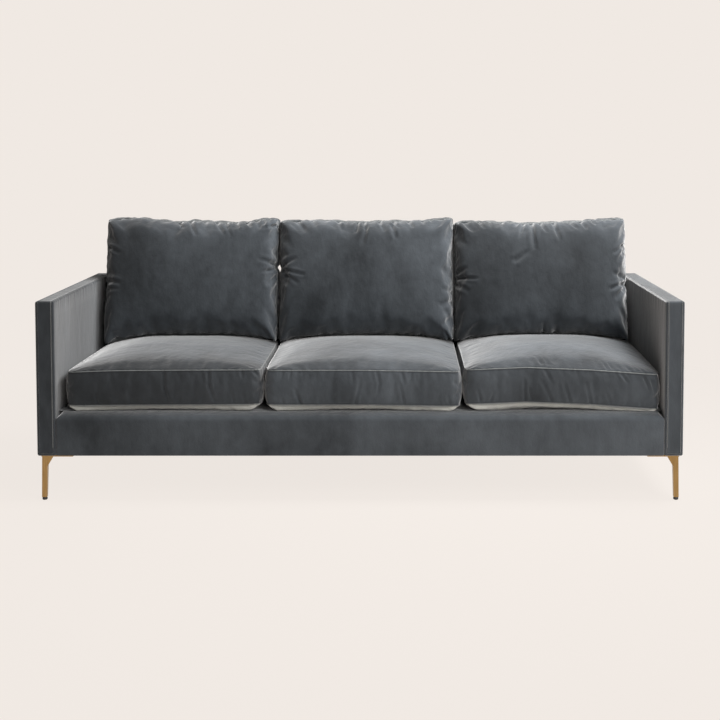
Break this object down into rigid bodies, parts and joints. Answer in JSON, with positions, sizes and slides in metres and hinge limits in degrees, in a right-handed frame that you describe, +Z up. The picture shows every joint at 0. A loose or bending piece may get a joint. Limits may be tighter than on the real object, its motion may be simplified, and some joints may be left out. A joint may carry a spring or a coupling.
{
  "type": "tuxedo sofa",
  "caption": "Velvet tuxedo sofa: slim square arms level with the back frame, loose boxed seat cushions, loose leaning back cushions and slender tapered brass legs.",
  "frame": {"origin": "on the floor, under the centre of the sofa's bounding box", "axes": "+X towards the sofa's right arm as seen from in front, +Y towards the back, +Z up; the front faces -Y"},
  "size_m": [2.134, 0.89, 0.8758],
  "materials": {
    "velvet": "slate grey velvet",
    "foam": "open-cell foam and fibre",
    "hardwood": "planed, unfinished",
    "hardboard": "smooth one side",
    "spring_steel": "bright drawn wire",
    "zinc": "zinc plated",
    "brushed_brass": "brushed",
    "webbing": "woven jute strap",
    "black_cloth": "non-woven, matte",
    "zip_tape": "woven tape with coil teeth",
    "black_plastic": "moulded, matte"
  },
  "bodies": {
    "frame": {"left_arm_cover": "velvet", "right_arm_cover": "velvet", "back_cover": "velvet", "deck_cloth": "velvet", "front_rail_cover": "velvet", "left_arm_padding": "foam", "right_arm_padding": "foam", "back_padding": "foam", "deck_padding": "foam", "front_rail_padding": "foam", "front_rail": "hardwood", "rear_rail": "hardwood", "left_side_rail": "hardwood", "right_side_rail": "hardwood", "seat_stretchers": "hardwood", "corner_blocks": "hardwood", "left_arm_front_post": "hardwood", "left_arm_rear_post": "hardwood", "left_arm_top_rail": "hardwood", "left_arm_foot_rail": "hardwood", "right_arm_front_post": "hardwood", "right_arm_rear_post": "hardwood", "right_arm_top_rail": "hardwood", "right_arm_foot_rail": "hardwood", "back_top_rail": "hardwood", "back_tacking_rail": "hardwood", "back_uprights": "hardwood", "left_arm_boards": "hardboard", "right_arm_boards": "hardboard", "back_panel": "hardboard", "seat_springs": "spring_steel", "spring_clips": "zinc", "leg_screws": "zinc", "arm_bolts": "zinc", "front_left_leg": "brushed_brass", "front_right_leg": "brushed_brass", "rear_left_leg": "brushed_brass", "rear_right_leg": "brushed_brass", "back_webbing": "webbing", "dust_cover": "black_cloth", "leg_glides": "black_plastic"},
    "seat_cushion_left": {"seat_cover_left": "velvet", "seat_core_left": "foam", "seat_zip_left": "zip_tape"},
    "zip_pull_left": {"zip_slider_left": "zinc"},
    "back_cushion_left": {"back_cover_left": "velvet", "back_core_left": "foam"},
    "seat_cushion_centre": {"seat_cover_centre": "velvet", "seat_core_centre": "foam", "seat_zip_centre": "zip_tape"},
    "zip_pull_centre": {"zip_slider_centre": "zinc"},
    "back_cushion_centre": {"back_cover_centre": "velvet", "back_core_centre": "foam"},
    "seat_cushion_right": {"seat_cover_right": "velvet", "seat_core_right": "foam", "seat_zip_right": "zip_tape"},
    "zip_pull_right": {"zip_slider_right": "zinc"},
    "back_cushion_right": {"back_cover_right": "velvet", "back_core_right": "foam"}
  },
  "joints": [
    {"name": "seat_left_pull_out", "type": "slide", "parent": "frame", "child": "seat_cushion_left", "axis": [0, -1, 0], "range_m": [0, 0.75]},
    {"name": "seat_centre_pull_out", "type": "slide", "parent": "frame", "child": "seat_cushion_centre", "axis": [0, -1, 0], "range_m": [0, 0.75]},
    {"name": "seat_right_pull_out", "type": "slide", "parent": "frame", "child": "seat_cushion_right", "axis": [0, -1, 0], "range_m": [0, 0.75]},
    {"name": "back_left_lift_off", "type": "slide", "parent": "frame", "child": "back_cushion_left", "axis": [0, 0, 1], "range_m": [0, 0.5]},
    {"name": "back_centre_lift_off", "type": "slide", "parent": "frame", "child": "back_cushion_centre", "axis": [0, 0, 1], "range_m": [0, 0.5]},
    {"name": "back_right_lift_off", "type": "slide", "parent": "frame", "child": "back_cushion_right", "axis": [0, 0, 1], "range_m": [0, 0.5]},
    {"name": "zip_left_run", "type": "slide", "parent": "seat_cushion_left", "child": "zip_pull_left", "axis": [1, 0, 0], "range_m": [0, 0.526]},
    {"name": "zip_centre_run", "type": "slide", "parent": "seat_cushion_centre", "child": "zip_pull_centre", "axis": [1, 0, 0], "range_m": [0, 0.526]},
    {"name": "zip_right_run", "type": "slide", "parent": "seat_cushion_right", "child": "zip_pull_right", "axis": [1, 0, 0], "range_m": [0, 0.526]}
  ]
}
